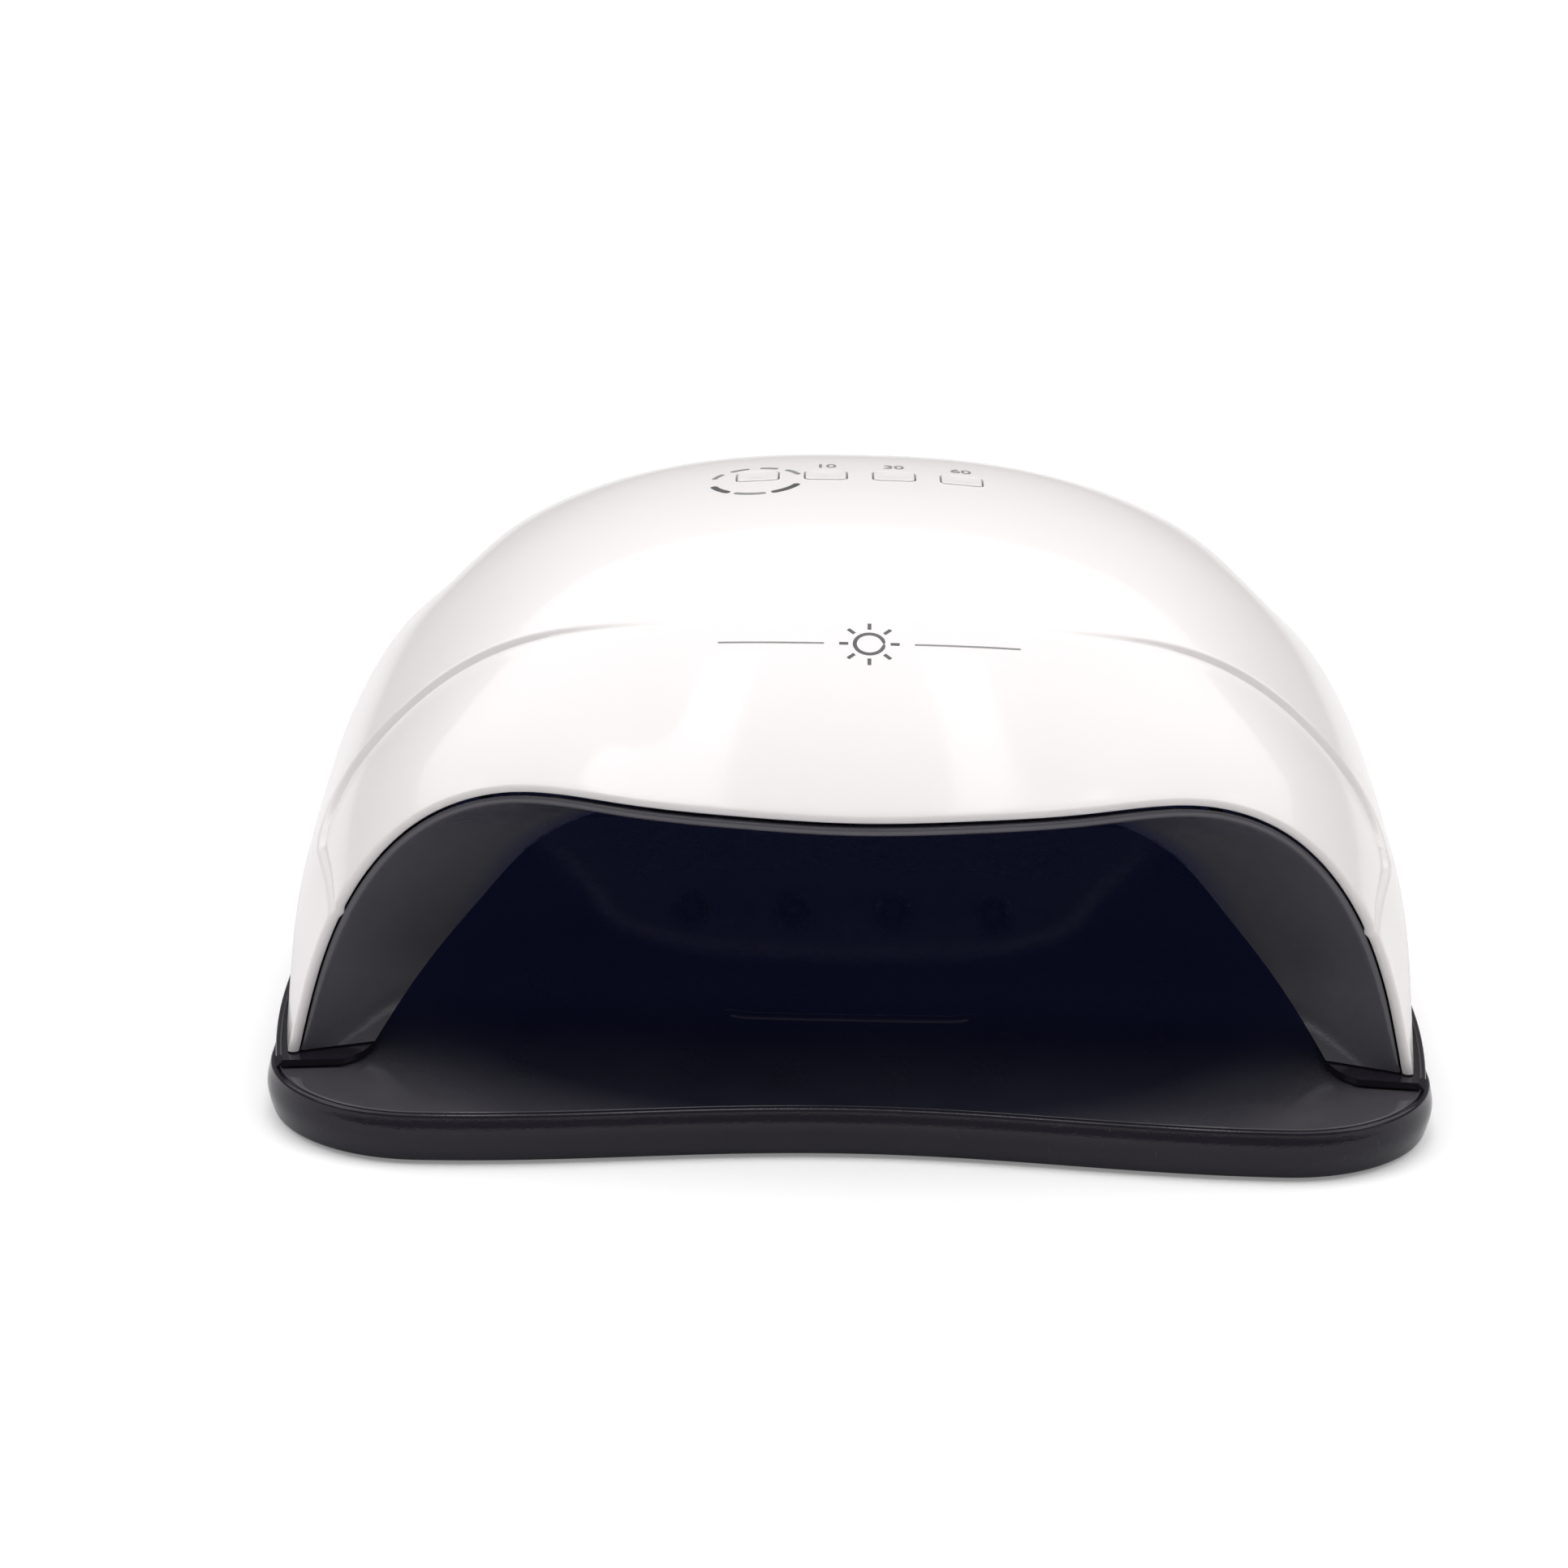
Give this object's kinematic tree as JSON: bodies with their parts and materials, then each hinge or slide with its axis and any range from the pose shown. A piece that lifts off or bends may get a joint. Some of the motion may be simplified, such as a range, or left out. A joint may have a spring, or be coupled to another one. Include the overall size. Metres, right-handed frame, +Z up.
{
  "type": "gel curing lamp",
  "caption": "Domed UV and LED lamp for curing gel coats on nails, with a hooded hand opening, keys on top and a lift-off floor tray.",
  "frame": {"origin": "centre of the overall box, on the table under the feet", "axes": "+X to the lamp's right seen from the front, +Y to the rear, +Z up; the hand goes in along +Y"},
  "size_m": [0.2332, 0.222, 0.1111],
  "materials": {
    "black_case": "satin black moulding",
    "liner_black": "fine matt black moulding",
    "foot_rubber": "matt",
    "screw_steel": "zinc plated",
    "magnet_plating": "nickel plated",
    "pearl_white": "glossy white with a pearl lustre",
    "key_white": "glossy white",
    "board_green": "green solder mask",
    "sensor_window": "smoked clear",
    "lead_black": "satin sleeve",
    "component_black": "satin black"
  },
  "bodies": {
    "tray": {"base_pan": "black_case", "floor_plate": "black_case", "foot_front_left": "foot_rubber", "foot_front_right": "foot_rubber", "foot_rear_left": "foot_rubber", "foot_rear_right": "foot_rubber", "tray_screw_front_left": "screw_steel", "tray_screw_front_right": "screw_steel", "tray_screw_rear_left": "screw_steel", "tray_screw_rear_right": "screw_steel", "tray_magnet_front_left": "magnet_plating", "tray_magnet_front_right": "magnet_plating", "tray_magnet_rear_left": "magnet_plating", "tray_magnet_rear_right": "magnet_plating"},
    "housing": {"base_frame": "black_case", "outer_shell": "pearl_white", "inner_liner": "liner_black", "frame_magnet_front_left": "magnet_plating", "frame_magnet_front_right": "magnet_plating", "frame_magnet_rear_left": "magnet_plating", "frame_magnet_rear_right": "magnet_plating", "frame_screw_front_left": "screw_steel", "frame_screw_front_right": "screw_steel", "frame_screw_rear_left": "screw_steel", "frame_screw_rear_right": "screw_steel", "roof_lamp_board": "board_green", "left_lamp_board": "board_green", "right_lamp_board": "board_green", "rear_lamp_board": "board_green", "hand_sensor_left": "sensor_window", "hand_sensor_right": "sensor_window", "control_board": "board_green", "board_screw_left": "screw_steel", "board_screw_right": "screw_steel", "key_switch_1": "component_black", "key_switch_2": "component_black", "key_switch_3": "component_black", "key_switch_4": "component_black", "driver_board": "board_green", "power_inlet": "component_black", "power_lead_left": "lead_black", "power_lead_right": "lead_black", "lamp_lead_left": "lead_black", "lamp_lead_right": "lead_black", "key_lead": "lead_black"},
    "key_1_cap": {"key_1": "key_white"},
    "key_2_cap": {"key_2": "key_white"},
    "key_3_cap": {"key_3": "key_white"},
    "key_4_cap": {"key_4": "key_white"}
  },
  "joints": [
    {"name": "housing_lift", "type": "slide", "parent": "tray", "child": "housing", "axis": [0, 0, 1], "range_m": [0, 0.12]},
    {"name": "key_1_press", "type": "slide", "parent": "housing", "child": "key_1_cap", "axis": [0.0761, 0, -0.9971], "range_m": [0, 0.0005], "stiffness_N_per_m": 400, "springref_m": -0.0005},
    {"name": "key_2_press", "type": "slide", "parent": "housing", "child": "key_2_cap", "axis": [0.0147, 0, -0.9999], "range_m": [0, 0.0005], "stiffness_N_per_m": 400, "springref_m": -0.0005},
    {"name": "key_3_press", "type": "slide", "parent": "housing", "child": "key_3_cap", "axis": [-0.0169, 0, -0.9999], "range_m": [0, 0.0005], "stiffness_N_per_m": 400, "springref_m": -0.0005},
    {"name": "key_4_press", "type": "slide", "parent": "housing", "child": "key_4_cap", "axis": [-0.0792, 0, -0.9969], "range_m": [0, 0.0005], "stiffness_N_per_m": 400, "springref_m": -0.0005}
  ]
}
